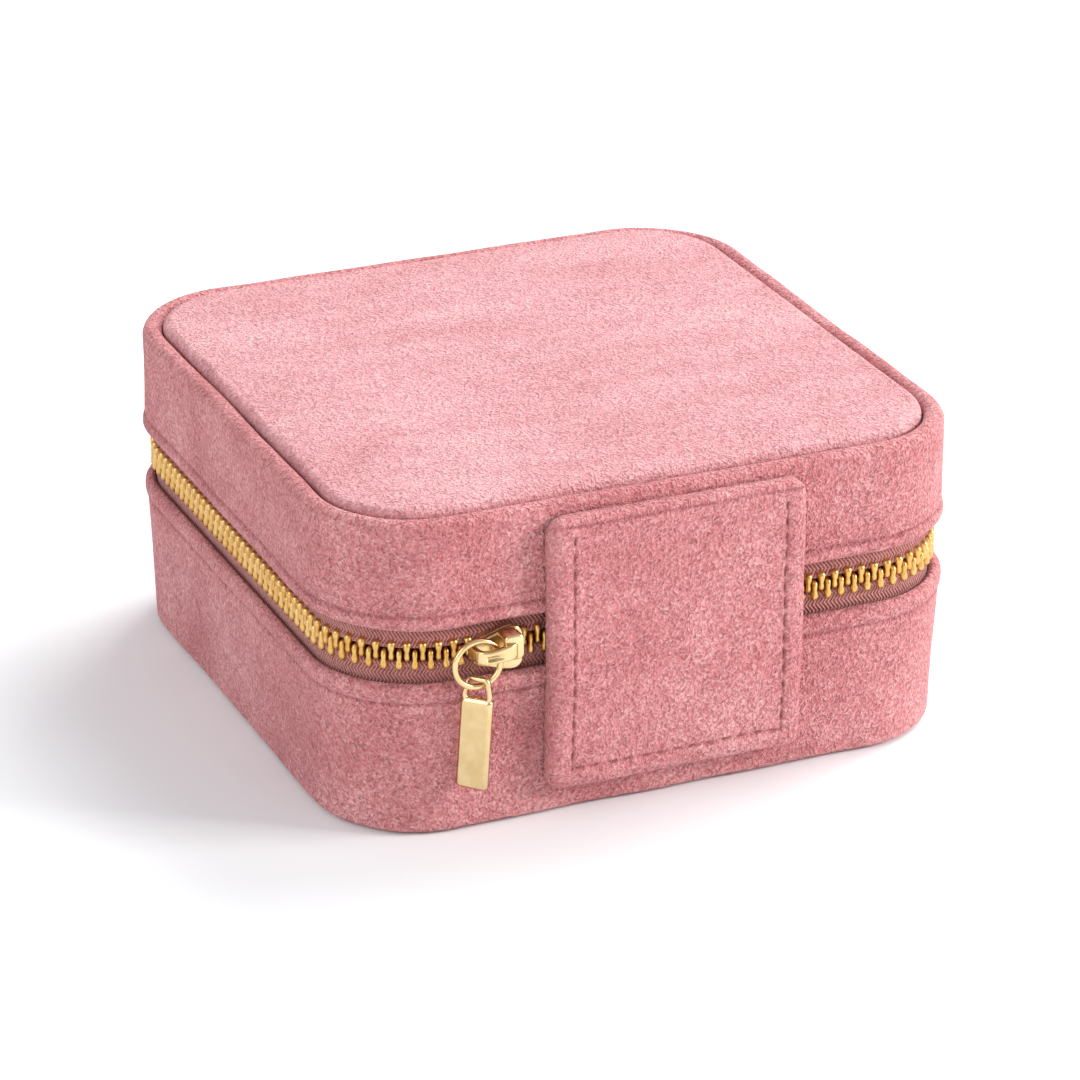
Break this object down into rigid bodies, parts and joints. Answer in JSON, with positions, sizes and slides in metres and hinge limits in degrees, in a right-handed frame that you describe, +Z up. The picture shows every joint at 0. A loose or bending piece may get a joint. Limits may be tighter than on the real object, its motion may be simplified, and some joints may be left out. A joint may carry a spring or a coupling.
{
  "type": "jewelry box",
  "caption": "Small square velvet travel jewelry box with rounded corners, padded lid on a fabric hinge panel, metal zip all round, ring rolls, compartments and lid mirror.",
  "frame": {"origin": "centre of the flat underside, on the surface the box stands on", "axes": "+Z up, -Y towards the side that carries the hinge panel and the parked zip slider, +X to the right as seen from that side"},
  "size_m": [0.1, 0.1042, 0.0502],
  "materials": {
    "velvet": "short-pile velvet, dusty pink",
    "lining": "smooth microsuede, lighter pink",
    "zip_tape": "woven twill tape, mauve brown",
    "foam": "thin EVA foam",
    "board": "grey bookbinding board",
    "brass": "polished pale gold",
    "mirror": "silvered glass"
  },
  "bodies": {
    "base": {"base_wrap": "velvet", "base_bottom_panel": "velvet", "base_floor_board": "board", "base_wall_board": "board", "base_wall_foam": "foam", "base_lining": "lining", "zip_tape_lower": "zip_tape", "zip_teeth_lower": "brass", "zip_stops_lower": "brass", "hinge_panel_lower": "velvet", "hinge_board_lower": "board", "hinge_strip_lower": "lining", "divider_long": "lining", "divider_cross_1": "lining", "divider_cross_2": "lining", "ring_roll_1": "lining", "ring_roll_2": "lining", "ring_roll_3": "lining", "ring_roll_4": "lining", "ring_roll_5": "lining", "ring_roll_6": "lining"},
    "lid": {"lid_wrap": "velvet", "lid_top_cover": "velvet", "lid_top_pad": "foam", "lid_top_board": "board", "lid_wall_board": "board", "lid_wall_foam": "foam", "lid_lining": "lining", "lid_mirror": "mirror", "mirror_frame": "lining", "zip_tape_upper": "zip_tape", "zip_teeth_upper": "brass", "zip_stops_upper": "brass", "hinge_panel_upper": "velvet", "hinge_board_upper": "board", "hinge_strip_upper": "lining"},
    "slider": {"slider_body": "brass"},
    "ring": {"pull_ring": "brass"},
    "tab": {"pull_tab": "brass"}
  },
  "joints": [
    {"name": "lid_hinge", "type": "hinge", "parent": "base", "child": "lid", "pos_m": [0, -0.053, 0.02835], "axis": [1, 0, 0], "range_deg": [0, 95]},
    {"name": "slider_travel", "type": "slide", "parent": "base", "child": "slider", "axis": [-1, 0, 0], "range_m": [-0.003, 0.0025]},
    {"name": "ring_swing", "type": "hinge", "parent": "slider", "child": "ring", "pos_m": [-0.02801, -0.05225, 0.0277], "axis": [0, 0, 1], "range_deg": [0, 60]},
    {"name": "tab_swing", "type": "hinge", "parent": "ring", "child": "tab", "pos_m": [-0.03116, -0.05225, 0.0242], "axis": [-1, 0, 0], "range_deg": [0, 90]}
  ]
}
